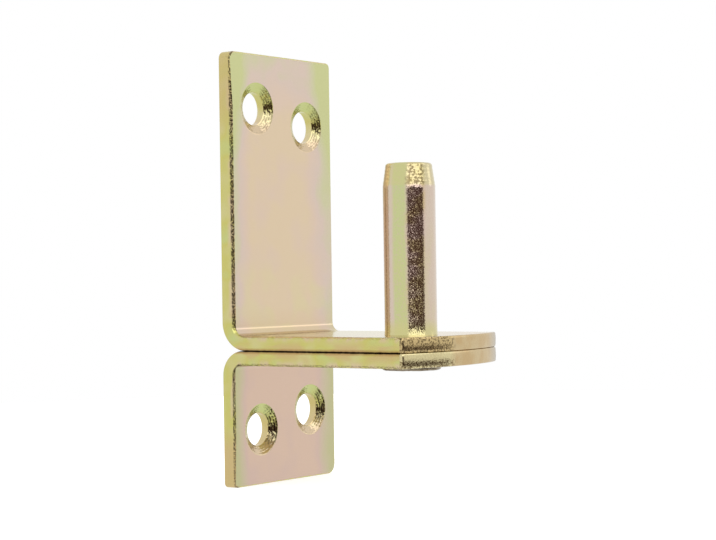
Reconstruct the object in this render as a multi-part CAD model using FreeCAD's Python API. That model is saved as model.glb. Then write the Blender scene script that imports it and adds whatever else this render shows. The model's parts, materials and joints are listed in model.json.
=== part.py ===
import FreeCAD, Part
import math
import os

from FreeCAD import Vector

# Driving dimensions in millimetres, angles in degrees.
# The origin is on the pin's axis at its seat, on top of the upper leg. +Z is up along the pin,
# +X points away from the post, and the plates' back faces lie against the post.

# Plates: flat bar, cut to length and bent into two angles whose legs lie face to face
plate_width = 45.0
plate_thickness = 4.0
upper_plate_height = 81.0
lower_plate_height = 37.0
front_overhang = 16.5
front_edge_radius = 65.0
front_corner_radius = 1.0
end_corner_radius = 2.0
sheared_edge_break = 0.35
upper_bend_inside_radius = 2.5
lower_bend_inside_radius = 1.5
bend_outside_easing = 1.25

# Countersunk screw holes, two in each plate, the second one staggered towards the bend
screw_hole_diameter = 9.0
countersink_diameter = 14.0
countersink_angle = 120.0
hole_end_distance = 15.0
hole_stagger = 4.0
hole_column_spacing = 22.0

# Pin: a turned shank that stands on a shoulder, with a tenon riveted over below the lower leg
pin_diameter = 14.0
pin_height = 45.5
pin_setback = 46.5
lead_in_height = 6.0
lead_in_diameter = 12.5
pin_top_round = 0.8
tenon_diameter = 10.0
tenon_clearance = 0.05
rivet_head_diameter = 16.0
rivet_head_height = 1.5
rivet_head_round = 0.7

# How far a cutting tool runs past the face that it starts from
cut_overrun = 1.0

# How near an edge's middle lies to the place where it is looked for
pick_tolerance = 0.1

# Edges between faces that meet at more than this angle are sharp
sharp_edge_angle = 30.0

# The leg runs from the back face past the pin's axis to the crown of its front edge
leg_reach = pin_setback + front_overhang


def bend_section(height, inside_radius):
    """The plate's angle section in XZ, with its back face at X = 0 and its mating face at Z = 0."""
    outside_radius = inside_radius + plate_thickness + bend_outside_easing
    inner = plate_thickness + inside_radius
    diagonal = math.sqrt(0.5)
    outer_mid = outside_radius * (1.0 - diagonal)
    inner_mid = inner - inside_radius * diagonal

    under_bend = Vector(outside_radius, 0, 0)
    under_front = Vector(leg_reach, 0, 0)
    top_front = Vector(leg_reach, 0, plate_thickness)
    top_bend = Vector(inner, 0, plate_thickness)
    front_bend = Vector(plate_thickness, 0, inner)
    front_end = Vector(plate_thickness, 0, height)
    back_end = Vector(0, 0, height)
    back_bend = Vector(0, 0, outside_radius)
    edges = [
        Part.makeLine(under_bend, under_front),
        Part.makeLine(under_front, top_front),
        Part.makeLine(top_front, top_bend),
        Part.Arc(top_bend, Vector(inner_mid, 0, inner_mid), front_bend).toShape(),
        Part.makeLine(front_bend, front_end),
        Part.makeLine(front_end, back_end),
        Part.makeLine(back_end, back_bend),
        Part.Arc(back_bend, Vector(outer_mid, 0, outer_mid), under_bend).toShape(),
    ]
    return Part.Face(Part.Wire(edges))


def leg_outline(height):
    """A prism of the plate's outline seen from above, with the bowed front edge and its two corners."""
    half = plate_width / 2.0
    corner = leg_reach - front_edge_radius + math.sqrt(front_edge_radius ** 2 - half ** 2)
    back_near = Vector(0, -half, 0)
    back_far = Vector(0, half, 0)
    front_near = Vector(corner, -half, 0)
    front_far = Vector(corner, half, 0)
    edges = [
        Part.makeLine(back_near, front_near),
        Part.Arc(front_near, Vector(leg_reach, 0, 0), front_far).toShape(),
        Part.makeLine(front_far, back_far),
        Part.makeLine(back_far, back_near),
    ]
    prism = Part.Face(Part.Wire(edges)).extrude(Vector(0, 0, height))
    corners = [
        edge for edge in prism.Edges
        if abs(edge.CenterOfMass.x - corner) < pick_tolerance
        and abs(edge.CenterOfMass.z - height / 2.0) < pick_tolerance
    ]
    return prism.makeFillet(front_corner_radius, corners)


def end_outline(height):
    """A prism of the plate's outline seen from the front, with the rounded corners of its free end."""
    half = plate_width / 2.0
    slab = Part.makeBox(leg_reach, plate_width, height, Vector(0, -half, 0))
    corners = [
        edge for edge in slab.Edges
        if edge.CenterOfMass.z > height - pick_tolerance
        and abs(edge.CenterOfMass.x - leg_reach / 2.0) < pick_tolerance
    ]
    return slab.makeFillet(end_corner_radius, corners)


def sharp_edges(shape):
    """The edges where two faces meet at an angle, as left by the shear."""
    found = []
    for edge in shape.Edges:
        middle = edge.valueAt((edge.FirstParameter + edge.LastParameter) / 2.0)
        normals = []
        for face in shape.ancestorsOfType(edge, Part.Face):
            u, v = face.Surface.parameter(middle)
            normals.append(face.normalAt(u, v))
        if len(normals) == 2 and math.degrees(normals[0].getAngle(normals[1])) > sharp_edge_angle:
            found.append(edge)
    return found


def bent_plate(height, inside_radius):
    """A trimmed and bent plate without holes, standing on its mating face."""
    half = plate_width / 2.0
    bar = bend_section(height, inside_radius).extrude(Vector(0, plate_width, 0))
    bar.translate(Vector(0, -half, 0))
    plate = bar.common(leg_outline(height)).common(end_outline(height)).removeSplitter()
    return plate.makeChamfer(sheared_edge_break, sharp_edges(plate))


def screw_hole(y, z):
    """The cutter for one screw hole through the upright leg, countersunk from the front."""
    slope = math.tan(math.radians(countersink_angle / 2.0))
    bore_radius = screw_hole_diameter / 2.0
    mouth_radius = countersink_diameter / 2.0 + cut_overrun * slope
    mouth = Vector(plate_thickness + cut_overrun, y, z)
    inward = Vector(-1, 0, 0)
    cone = Part.makeCone(mouth_radius, bore_radius, (mouth_radius - bore_radius) / slope, mouth, inward)
    bore = Part.makeCylinder(bore_radius, plate_thickness + 2.0 * cut_overrun, mouth, inward)
    return cone.fuse(bore)


def tenon_hole():
    """The cutter for the hole that the pin's tenon passes through, in the plate's own frame."""
    radius = tenon_diameter / 2.0 + tenon_clearance
    return Part.makeCylinder(
        radius, plate_thickness + 2.0 * cut_overrun, Vector(pin_setback, 0, -cut_overrun)
    )


def drilled_plate(height, inside_radius):
    """A bent plate with its tenon hole and its two staggered screw holes."""
    near = screw_hole(-hole_column_spacing / 2.0, height - hole_end_distance)
    far = screw_hole(hole_column_spacing / 2.0, height - hole_end_distance - hole_stagger)
    return bent_plate(height, inside_radius).cut(near).cut(far).cut(tenon_hole())


def upper_plate():
    """The tall plate: its upright rises from the leg that carries the pin's shoulder."""
    plate = drilled_plate(upper_plate_height, upper_bend_inside_radius)
    plate.translate(Vector(-pin_setback, 0, -plate_thickness))
    return plate


def lower_plate():
    """The short plate: its leg lies under the upper leg, and its upright hangs down."""
    plate = drilled_plate(lower_plate_height, lower_bend_inside_radius)
    plate = plate.mirror(Vector(0, 0, 0), Vector(0, 0, 1))
    plate.translate(Vector(-pin_setback, 0, -plate_thickness))
    return plate


def hinge_pin():
    """The turned pin with its lead-in, shoulder, tenon and riveted head, as one revolved solid."""
    shank_radius = pin_diameter / 2.0
    tenon_radius = tenon_diameter / 2.0
    head_radius = rivet_head_diameter / 2.0
    head_top = -2.0 * plate_thickness
    head_bottom = head_top - rivet_head_height
    profile = Part.makePolygon([
        Vector(0, 0, pin_height),
        Vector(lead_in_diameter / 2.0, 0, pin_height),
        Vector(shank_radius, 0, pin_height - lead_in_height),
        Vector(shank_radius, 0, 0),
        Vector(tenon_radius, 0, 0),
        Vector(tenon_radius, 0, head_top),
        Vector(head_radius, 0, head_top),
        Vector(head_radius, 0, head_bottom),
        Vector(0, 0, head_bottom),
        Vector(0, 0, pin_height),
    ])
    pin = Part.Face(profile).revolve(Vector(0, 0, 0), Vector(0, 0, 1), 360.0)
    pin = pin.makeFillet(pin_top_round, rims_at(pin, pin_height))
    return pin.makeFillet(rivet_head_round, rims_at(pin, head_bottom))


def rims_at(shape, z):
    """The circular edges of a turned shape at height z."""
    return [
        edge for edge in shape.Edges
        if edge.Curve.TypeId == "Part::GeomCircle"
        and abs(edge.CenterOfMass.z - z) < pick_tolerance
    ]


def main():
    """Builds each piece and writes it to its own file."""
    os.makedirs("parts", exist_ok=True)
    pieces = {
        "upper_plate": upper_plate(),
        "lower_plate": lower_plate(),
        "hinge_pin": hinge_pin(),
    }
    for name, shape in pieces.items():
        box = shape.BoundBox
        print(name, "valid", shape.isValid(), "solids", len(shape.Solids), "volume", round(shape.Volume, 2))
        print("  from", round(box.XMin, 2), round(box.YMin, 2), round(box.ZMin, 2))
        print("  to", round(box.XMax, 2), round(box.YMax, 2), round(box.ZMax, 2))
        shape.exportStep("parts/" + name + ".step")


main()
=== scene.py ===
"""Looks of a zinc-plated gate hinge pin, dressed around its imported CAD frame.

Two bent plates lie leg on leg, and a turned pin is riveted through both. Every piece is modelled
again here with its eased and torn edges, countersinks and turning rings, and is dressed in
procedural chromate zinc finishes. All sizes are in metres, in the frame of the CAD model.
"""

import json
import logging
import math
from collections.abc import Callable, Iterable
from dataclasses import dataclass
from enum import Enum

import bmesh
import bpy
from mathutils import Matrix, Vector


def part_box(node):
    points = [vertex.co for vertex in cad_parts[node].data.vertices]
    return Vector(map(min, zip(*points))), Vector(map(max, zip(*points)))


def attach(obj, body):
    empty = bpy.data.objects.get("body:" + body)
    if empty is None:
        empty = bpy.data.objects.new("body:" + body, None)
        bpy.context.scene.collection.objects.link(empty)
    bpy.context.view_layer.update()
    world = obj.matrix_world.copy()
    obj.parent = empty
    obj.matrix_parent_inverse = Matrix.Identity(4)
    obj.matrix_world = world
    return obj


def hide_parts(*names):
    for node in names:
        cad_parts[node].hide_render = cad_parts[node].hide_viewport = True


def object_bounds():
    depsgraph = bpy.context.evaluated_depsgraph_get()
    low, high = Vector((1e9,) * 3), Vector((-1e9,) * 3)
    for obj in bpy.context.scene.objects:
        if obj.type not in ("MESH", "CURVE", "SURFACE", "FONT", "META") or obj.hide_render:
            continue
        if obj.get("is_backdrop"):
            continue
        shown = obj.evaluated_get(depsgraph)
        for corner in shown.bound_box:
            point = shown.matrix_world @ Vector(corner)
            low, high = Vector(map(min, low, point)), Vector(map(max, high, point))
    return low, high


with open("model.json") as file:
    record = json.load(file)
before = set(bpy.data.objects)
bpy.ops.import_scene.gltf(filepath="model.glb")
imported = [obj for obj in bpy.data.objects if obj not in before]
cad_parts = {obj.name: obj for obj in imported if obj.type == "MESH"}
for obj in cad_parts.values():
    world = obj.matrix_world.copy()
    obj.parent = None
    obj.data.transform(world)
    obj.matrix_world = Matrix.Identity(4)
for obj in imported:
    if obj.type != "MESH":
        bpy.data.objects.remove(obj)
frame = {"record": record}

MM = 0.001
BODY = "root"
TINY = 1e-6
PLACE_TOLERANCE = 0.02 * MM

# How strongly a large face draws the shading of its rims, where 50 is not at all
FLAT_WEIGHT = 60

# Faces that meet at less than this angle are one flat face
FLAT_ANGLE = math.radians(1.0)

# Least part of a face's normal along an axis that the face looks along, roughly and squarely
FACING = 0.9
FACING_SQUARELY = 0.999

Colour = tuple[float, float, float, float]
Stretch = tuple[float, float, float]
Profile = list[tuple[float, float]]

log = logging.getLogger("hinge_pin")


class Slot(Enum):
    """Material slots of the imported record."""

    PLATE = "plate_zinc"
    PIN = "pin_zinc"


class Upright(Enum):
    """Which way a plate's upright goes from the joint between the legs."""

    RISES = 1.0
    HANGS = -1.0


class Zone(Enum):
    """Surfaces of a plate that are finished differently, in the order of its material slots."""

    FACE = 0
    STRIP = 1
    NOSE = 2
    SINK = 3


class Tone(Enum):
    """Colours of the chromate film and of the painted shade, as display values."""

    PEACH = (220, 199, 170)
    BLUSH = (218, 196, 178)
    LILAC = (214, 195, 182)
    SAGE = (205, 201, 166)
    LIME = (200, 203, 148)
    ROSE = (214, 187, 168)
    MAUVE = (209, 183, 170)
    HAZE = (204, 187, 164)
    REED = (199, 189, 157)
    FERN = (193, 190, 147)
    STRAW = (216, 206, 159)
    SAND = (214, 188, 154)
    MOSS = (195, 201, 134)
    OLIVE = (200, 194, 114)
    HONEY = (205, 198, 138)
    TAN = (202, 178, 126)
    SHELL = (212, 190, 158)
    WHEAT = (201, 180, 138)
    AMBER = (195, 168, 122)
    PEARL = (174, 165, 150)
    SPRING = (196, 200, 145)
    PETAL = (210, 193, 176)
    STEEL = (138, 127, 108)
    WARM_SHADE = (168, 128, 76)
    UMBER = (92, 74, 42)
    BROWN_SHADE = (58, 42, 22)
    DARK_SHADE = (44, 22, 6)

    @property
    def rgba(self) -> Colour:
        """The colour in linear light."""
        red, green, blue = (to_linear(value / 255.0) for value in self.value)
        return (red, green, blue, 1.0)


def to_linear(value: float) -> float:
    """Turns a display value into linear light.

    Args:
        value: Display value from 0 to 1.

    Returns:
        The same value in linear light.
    """
    if value <= 0.04045:
        return value / 12.92
    return ((value + 0.055) / 1.055) ** 2.4


def grey(level: float) -> Colour:
    """An even grey of one level, in linear light."""
    return (level, level, level, 1.0)


class Bench:
    """Edit mode on one piece, with faces and edges picked by their place."""

    def __init__(self, piece: bpy.types.Object) -> None:
        """Keeps the piece to work on.

        Args:
            piece: Mesh object that is edited.
        """
        self.piece = piece

    def __enter__(self) -> "Bench":
        """Selects the piece alone and goes into edit mode.

        Returns:
            The bench.
        """
        only(self.piece)
        bpy.ops.object.mode_set(mode="EDIT")
        bpy.ops.mesh.select_mode(type="FACE")
        bpy.ops.mesh.select_all(action="DESELECT")
        return self

    def __exit__(self, *_: object) -> None:
        """Goes back to object mode."""
        bpy.ops.object.mode_set(mode="OBJECT")

    def pick_all(self) -> None:
        """Selects the whole mesh."""
        bpy.ops.mesh.select_all(action="SELECT")

    def pick(self, kind: str, test: Callable[[object], bool]) -> None:
        """Selects only the faces or the edges that pass a test.

        Args:
            kind: FACE or EDGE.
            test: Says if a face or an edge is wanted.
        """
        bpy.ops.mesh.select_mode(type=kind)
        bpy.ops.mesh.select_all(action="DESELECT")
        mesh = bmesh.from_edit_mesh(self.piece.data)
        elements = mesh.faces if kind == "FACE" else mesh.edges
        for element in [element for element in elements if test(element)]:
            element.select_set(True)
        bmesh.update_edit_mesh(self.piece.data)

    def pick_faces(self, test: Callable[[bmesh.types.BMFace], bool]) -> None:
        """Selects only the faces that pass a test."""
        self.pick("FACE", test)

    def bevel(self, test: Callable[[bmesh.types.BMEdge], bool], size: float, segments: int) -> None:
        """Rounds the edges that pass a test."""
        self.pick("EDGE", test)
        bpy.ops.mesh.bevel(offset=size, segments=segments, affect="EDGES")


def only(piece: bpy.types.Object) -> None:
    """Makes one object the only selected one, and the active one.

    Args:
        piece: Object to select.
    """
    bpy.ops.object.select_all(action="DESELECT")
    piece.select_set(True)
    bpy.context.view_layer.objects.active = piece


def named(name: str) -> bpy.types.Object:
    """Names the object that was just added, and its mesh.

    Args:
        name: New name.

    Returns:
        The object.
    """
    piece = bpy.context.active_object
    piece.name = name
    piece.data.name = name
    return piece


def settle() -> None:
    """Puts the active object's place and size into its mesh."""
    bpy.ops.object.transform_apply(location=True, rotation=True, scale=True)


def apply_modifier(piece: bpy.types.Object, kind: str, **settings: object) -> None:
    """Adds a modifier to a piece, sets it and applies it.

    Args:
        piece: Mesh object.
        kind: Modifier type.
        settings: Values of the modifier's properties.
    """
    only(piece)
    bpy.ops.object.modifier_add(type=kind)
    modifier = piece.modifiers[-1]
    for key, value in settings.items():
        setattr(modifier, key, value)
    bpy.ops.object.modifier_apply(modifier=modifier.name)


def carve(piece: bpy.types.Object, tool: bpy.types.Object, operation: str) -> None:
    """Cuts a piece with a tool shape and throws the tool away.

    Args:
        piece: Mesh object that is cut.
        tool: Closed mesh object.
        operation: DIFFERENCE or INTERSECT.
    """
    apply_modifier(piece, "BOOLEAN", operation=operation, solver="EXACT", object=tool)
    bpy.data.objects.remove(tool)


def turned(name: str, profile: Profile, centre: Vector, axis: Vector, steps: int) -> bpy.types.Object:
    """Turns a closed solid from a half profile that starts and ends on its axis.

    Args:
        name: Name of the new object.
        profile: Radius and height of each point.
        centre: Point of the axis at height zero.
        axis: Unit vector along the axis.
        steps: Steps round the axis.

    Returns:
        The turned mesh object.
    """
    outward = axis.orthogonal().normalized()
    points = [centre + axis * height + outward * radius for radius, height in profile]
    bpy.ops.object.select_all(action="DESELECT")
    bpy.ops.mesh.primitive_plane_add(size=MM, location=points[0])
    piece = named(name)
    settle()
    with Bench(piece) as bench:
        bench.pick_all()
        bpy.ops.mesh.merge(type="CENTER")
        bpy.ops.mesh.select_mode(type="VERT")
        bench.pick_all()
        for here, there in zip(points, points[1:]):
            bpy.ops.mesh.extrude_vertices_move(TRANSFORM_OT_translate={"value": there - here})
        bench.pick_all()
        bpy.ops.mesh.spin(steps=steps, angle=math.tau, center=centre, axis=axis)
        bench.pick_all()
        bpy.ops.mesh.remove_doubles(threshold=TINY)
        bpy.ops.mesh.normals_make_consistent(inside=False)
    return piece


def smooth(piece: bpy.types.Object, angle: float) -> None:
    """Shades a piece smooth between its sharp edges, with flat faces kept flat.

    Args:
        piece: Mesh object.
        angle: Angle above which an edge stays sharp.
    """
    only(piece)
    bpy.ops.object.shade_smooth_by_angle(angle=angle)
    apply_modifier(piece, "WEIGHTED_NORMAL", keep_sharp=True, weight=FLAT_WEIGHT)


def roughen(piece: bpy.types.Object, shares: dict[int, float], size: float, depth: float) -> None:
    """Presses a cloudy pattern into some points of a piece.

    Args:
        piece: Mesh object.
        shares: Share of the full depth at each roughened point, by the point's index.
        size: Size of the pattern.
        depth: Full depth of the pattern.
    """
    group = piece.vertex_groups.new(name="rough")
    for index, share in shares.items():
        group.add([index], share, "REPLACE")
    texture = bpy.data.textures.new(f"{piece.name}_rough", "CLOUDS")
    texture.noise_scale = size
    apply_modifier(
        piece,
        "DISPLACE",
        texture=texture,
        vertex_group=group.name,
        strength=depth,
        mid_level=1.0,
        texture_coords="LOCAL",
    )
    piece.vertex_groups.clear()


def mount_size(mount: str, size: str) -> float:
    """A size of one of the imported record's mounts, in metres."""
    mounts = {entry["name"]: entry for entry in frame["record"]["mounts"]}
    return mounts[mount]["dims"][size] * MM


@dataclass(frozen=True)
class Fade:
    """Where a soft step begins and where it is full, from the step's origin."""

    start: float
    full: float


@dataclass(frozen=True)
class Patches:
    """Soft patches that begin at one value of a noise and are full at another."""

    size: float
    start: float
    full: float
    share: float = 1.0
    detail: float = 2.0
    stretch: Stretch = (1.0, 1.0, 1.0)


class NodeSheet:
    """A node tree, with short calls for the nodes that the finishes and the studio use."""

    def __init__(self, tree: bpy.types.NodeTree, coordinates: str) -> None:
        """Takes up a tree and reads its coordinates.

        Args:
            tree: Node tree of a material or a world.
            coordinates: Name of the coordinates that its patterns lie on.
        """
        self.nodes = tree.nodes
        self.links = tree.links
        self.place = self.nodes.new("ShaderNodeTexCoord").outputs[coordinates]
        axes = self.nodes.new("ShaderNodeSeparateXYZ")
        self.links.new(self.place, axes.inputs["Vector"])
        self.x, self.y, self.z = (axes.outputs[axis] for axis in "XYZ")

    def feed(self, socket: bpy.types.NodeSocket, value: object) -> None:
        """Links a socket, or sets its value where the value is plain.

        Args:
            socket: Input socket.
            value: Output socket, number or colour.
        """
        if isinstance(value, bpy.types.NodeSocket):
            self.links.new(value, socket)
        else:
            socket.default_value = value

    def operate(self, kind: str, operation: str, values: tuple[object, ...]) -> bpy.types.NodeSocket:
        """Adds a node that works on some values.

        Args:
            kind: Type of the node.
            operation: Name of the operation.
            values: Values or sockets, in the order of the node's inputs.

        Returns:
            The result's socket.
        """
        node = self.nodes.new(kind)
        node.operation = operation
        for socket, value in zip(node.inputs, values):
            self.feed(socket, value)
        return node.outputs[0]

    def math(self, operation: str, *values: object) -> bpy.types.NodeSocket:
        """The result of an operation on one or two numbers."""
        return self.operate("ShaderNodeMath", operation, values)

    def vector_math(self, operation: str, *values: object) -> bpy.types.NodeSocket:
        """The result of an operation on one to three vectors."""
        return self.operate("ShaderNodeVectorMath", operation, values)

    def hypot(self, first: object, second: object) -> bpy.types.NodeSocket:
        """The length of the diagonal of two values."""
        return self.math("SQRT", self.math("ADD", self.times(first, first), self.times(second, second)))

    def step(self, value: object, start: float, end: float) -> bpy.types.NodeSocket:
        """A soft step from 0 at start to 1 at end.

        Args:
            value: Value or socket that is compared.
            start: Value where the step begins.
            end: Value where the step is done.

        Returns:
            The step's socket.
        """
        node = self.nodes.new("ShaderNodeMapRange")
        node.interpolation_type = "SMOOTHSTEP"
        low, high = min(start, end), max(start, end)
        self.feed(node.inputs["Value"], value)
        node.inputs["From Min"].default_value = low
        node.inputs["From Max"].default_value = high
        node.inputs["To Min"].default_value = 0.0 if start < end else 1.0
        node.inputs["To Max"].default_value = 1.0 if start < end else 0.0
        return node.outputs["Result"]

    def fade(self, value: object, fade: Fade, origin: float = 0.0) -> bpy.types.NodeSocket:
        """A soft step that is measured from an origin."""
        return self.step(value, origin + fade.start, origin + fade.full)

    def band(self, value: object, low: float, high: float, soft: float) -> bpy.types.NodeSocket:
        """A band that is 1 between two values, with soft ends.

        Args:
            value: Value or socket that is compared.
            low: Lower end of the band.
            high: Upper end of the band.
            soft: Width of each end.

        Returns:
            The band's socket.
        """
        rising = self.step(value, low - soft / 2, low + soft / 2)
        falling = self.step(value, high + soft / 2, high - soft / 2)
        return self.times(rising, falling)

    def scaled(self, value: object, factor: float, offset: float = 0.0) -> bpy.types.NodeSocket:
        """A value times a factor, plus an offset."""
        return self.math("ADD", self.math("MULTIPLY", value, factor), offset)

    def noise(
        self, size: float, detail: float = 2.0, stretch: Stretch = (1.0, 1.0, 1.0)
    ) -> bpy.types.NodeSocket:
        """Noise on the piece's own coordinates.

        Args:
            size: Size of a patch.
            detail: How many finer layers it has.
            stretch: How many times longer a patch is along each axis.

        Returns:
            The noise's socket, around 0.5.
        """
        mapping = self.nodes.new("ShaderNodeMapping")
        self.links.new(self.place, mapping.inputs["Vector"])
        mapping.inputs["Scale"].default_value = [1.0 / (size * times) for times in stretch]
        node = self.nodes.new("ShaderNodeTexNoise")
        self.links.new(mapping.outputs["Vector"], node.inputs["Vector"])
        node.inputs["Scale"].default_value = 1.0
        node.inputs["Detail"].default_value = detail
        return node.outputs["Fac"]

    def wander(self, amount: float, size: float, **settings: object) -> bpy.types.NodeSocket:
        """A slow drift to both sides, by up to half an amount."""
        return self.scaled(self.noise(size, **settings), amount, -amount / 2)

    def patches(self, patches: Patches) -> bpy.types.NodeSocket:
        """Soft patches cut from noise, each as strong as their share."""
        noise = self.noise(patches.size, patches.detail, patches.stretch)
        return self.times(self.step(noise, patches.start, patches.full), patches.share)

    def mix(self, share: object, first: object, second: object) -> bpy.types.NodeSocket:
        """A mix of two colours.

        Args:
            share: Share of the second colour.
            first: First colour or socket.
            second: Second colour or socket.

        Returns:
            The mixed colour's socket.
        """
        node = self.nodes.new("ShaderNodeMix")
        node.data_type = "RGBA"
        self.feed(node.inputs[0], share)
        # The node's colours come after its numbers and vectors
        self.feed(node.inputs[6], first)
        self.feed(node.inputs[7], second)
        return node.outputs[2]

    def tint(self, colour: object, tone: Tone, *shares: object) -> bpy.types.NodeSocket:
        """A colour with a tone mixed in, by the product of its shares."""
        return self.mix(self.times(*shares), colour, tone.rgba)

    def times(self, *values: object) -> bpy.types.NodeSocket:
        """The product of several values.

        Args:
            values: Values or sockets.

        Returns:
            The product's socket.
        """
        product = values[0]
        for value in values[1:]:
            product = self.math("MULTIPLY", product, value)
        return product

    def ramp(self, value: object, tones: tuple[Tone, ...]) -> bpy.types.NodeSocket:
        """A row of tones, evenly spaced over values from 0 to 1.

        Args:
            value: Value or socket that picks the tone.
            tones: Tones in order.

        Returns:
            The colour's socket.
        """
        node = self.nodes.new("ShaderNodeValToRGB")
        self.feed(node.inputs["Fac"], value)
        elements = node.color_ramp.elements
        elements[0].color = tones[0].rgba
        elements[-1].color = tones[-1].rgba
        for index, tone in enumerate(tones[1:-1], start=1):
            elements.new(index / (len(tones) - 1)).color = tone.rgba
        return node.outputs["Color"]


class MetalSheet(NodeSheet):
    """The node tree of one metal finish."""

    def __init__(self, name: str, roughness: float) -> None:
        """Starts a metal material.

        Args:
            name: Name of the material.
            roughness: Even roughness of the metal.
        """
        self.material = bpy.data.materials.new(name)
        self.material.use_nodes = True
        super().__init__(self.material.node_tree, "Object")
        self.shader = self.nodes["Principled BSDF"]
        self.shader.inputs["Metallic"].default_value = 1.0
        self.shader.inputs["Roughness"].default_value = roughness

    def bump(self, height: object, depth: float, under: object = None) -> bpy.types.NodeSocket:
        """A fine relief on the surface.

        Args:
            height: Socket of the relief's height, from 0 to 1.
            depth: Depth of the relief.
            under: Socket of a relief that lies under this one.

        Returns:
            The normal's socket.
        """
        node = self.nodes.new("ShaderNodeBump")
        node.inputs["Strength"].default_value = 1.0
        node.inputs["Distance"].default_value = depth
        self.feed(node.inputs["Height"], height)
        if under is not None:
            self.links.new(under, node.inputs["Normal"])
        return node.outputs["Normal"]

    def facets(self, size: float, low: object, spread: Vector, under: object) -> bpy.types.NodeSocket:
        """Fine crystal facets, each leaning its own way.

        Args:
            size: Size of a facet.
            low: Least lean of a facet along each axis, as a vector or a socket.
            spread: How much more than that a facet leans at most.
            under: Socket of the relief that the facets lie on.

        Returns:
            The normal's socket.
        """
        cells = self.nodes.new("ShaderNodeTexVoronoi")
        cells.inputs["Scale"].default_value = 1.0 / size
        self.links.new(self.place, cells.inputs["Vector"])
        lean = self.vector_math("MULTIPLY_ADD", cells.outputs["Color"], spread, low)
        return self.vector_math("NORMALIZE", self.vector_math("ADD", under, lean))

    def finish(self, colour: object, normal: object) -> bpy.types.Material:
        """Gives the metal its colour and relief.

        Args:
            colour: Socket of the colour.
            normal: Socket of the relief.

        Returns:
            The finished material.
        """
        self.feed(self.shader.inputs["Base Color"], colour)
        self.feed(self.shader.inputs["Normal"], normal)
        return self.material


@dataclass(frozen=True)
class RolledFinish:
    """Chromate film on a plate's rolled faces, which changes tone as it thickens to the edges."""

    film: tuple[Tone, ...]
    near_width: float
    far_width: float
    end_share: float
    foot_share: float
    low_share: float = 0.62
    low_until: float = 0.3
    high_from: float = 0.75
    end_width: float = 24.0 * MM
    foot_height: float = 28.0 * MM
    heel_height: float = 13.0 * MM
    drift_size: float = 10.0 * MM
    drift: float = 0.8
    streaks: Patches = Patches(9.0 * MM, 0.46, 0.62, detail=1.0)
    leg: Fade = Fade(0.5 * MM, 3.0 * MM)
    leg_root: float = 6.0 * MM
    leg_share: float = 0.3
    root_share: float = 0.6
    mottle_size: float = 1.6 * MM
    mottle_share: float = 0.08
    roughness: float = 0.17
    grain_size: float = 0.35 * MM
    grain_stretch: Stretch = (1.0, 1.0, 4.0)
    mill_depth: float = 0.003 * MM

    def make(self, plate: "BentPlate") -> bpy.types.Material:
        """Makes the material for one plate.

        Args:
            plate: Plate that wears it.

        Returns:
            The material.
        """
        sheet = MetalSheet(f"{plate.node}_rolled", self.roughness)
        colour = sheet.ramp(self.thickness(sheet, plate), self.film)
        foot = sheet.step(sheet.z, plate.level(self.foot_height), plate.level(self.foot_height / 2))
        colour = sheet.tint(colour, Tone.STRAW, foot, sheet.patches(self.streaks), self.foot_share)
        heel = sheet.step(sheet.z, plate.level(self.heel_height), plate.level(plate.thickness))
        colour = sheet.tint(colour, Tone.SAND, heel, self.foot_share)
        leg = sheet.fade(sheet.x, self.leg, plate.face)
        root = sheet.step(sheet.x, plate.tip, plate.face + self.leg_root)
        colour = sheet.tint(colour, Tone.HONEY, leg, sheet.scaled(root, self.root_share, self.leg_share))
        mottle = sheet.noise(self.mottle_size, detail=3.0)
        colour = sheet.tint(colour, Tone.TAN, mottle, self.mottle_share)
        grain = sheet.noise(self.grain_size, detail=3.0, stretch=self.grain_stretch)
        return sheet.finish(colour, sheet.bump(grain, self.mill_depth))

    def thickness(self, sheet: MetalSheet, plate: "BentPlate") -> bpy.types.NodeSocket:
        """The film's thickness over a plate, from 0 in the middle to 1 at its edges.

        Args:
            sheet: Node tree of the material.
            plate: Plate that wears it.

        Returns:
            The thickness's socket.
        """
        half = plate.width / 2
        near = sheet.step(sheet.y, self.near_width - half, -half)
        far = sheet.step(sheet.y, half - self.far_width, half)
        low_line = plate.level(plate.height * self.low_until)
        high_line = plate.level(plate.height * self.high_from)
        high = sheet.step(sheet.z, low_line, high_line)
        share = sheet.scaled(high, 1.0 - self.low_share, self.low_share)
        sides = sheet.times(sheet.math("ADD", near, far), share)
        end = sheet.step(sheet.z, plate.level(plate.height - self.end_width), plate.level(plate.height))
        film = sheet.math("ADD", sides, sheet.times(end, self.end_share))
        return sheet.math("ADD", film, sheet.wander(self.drift, self.drift_size))


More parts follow.
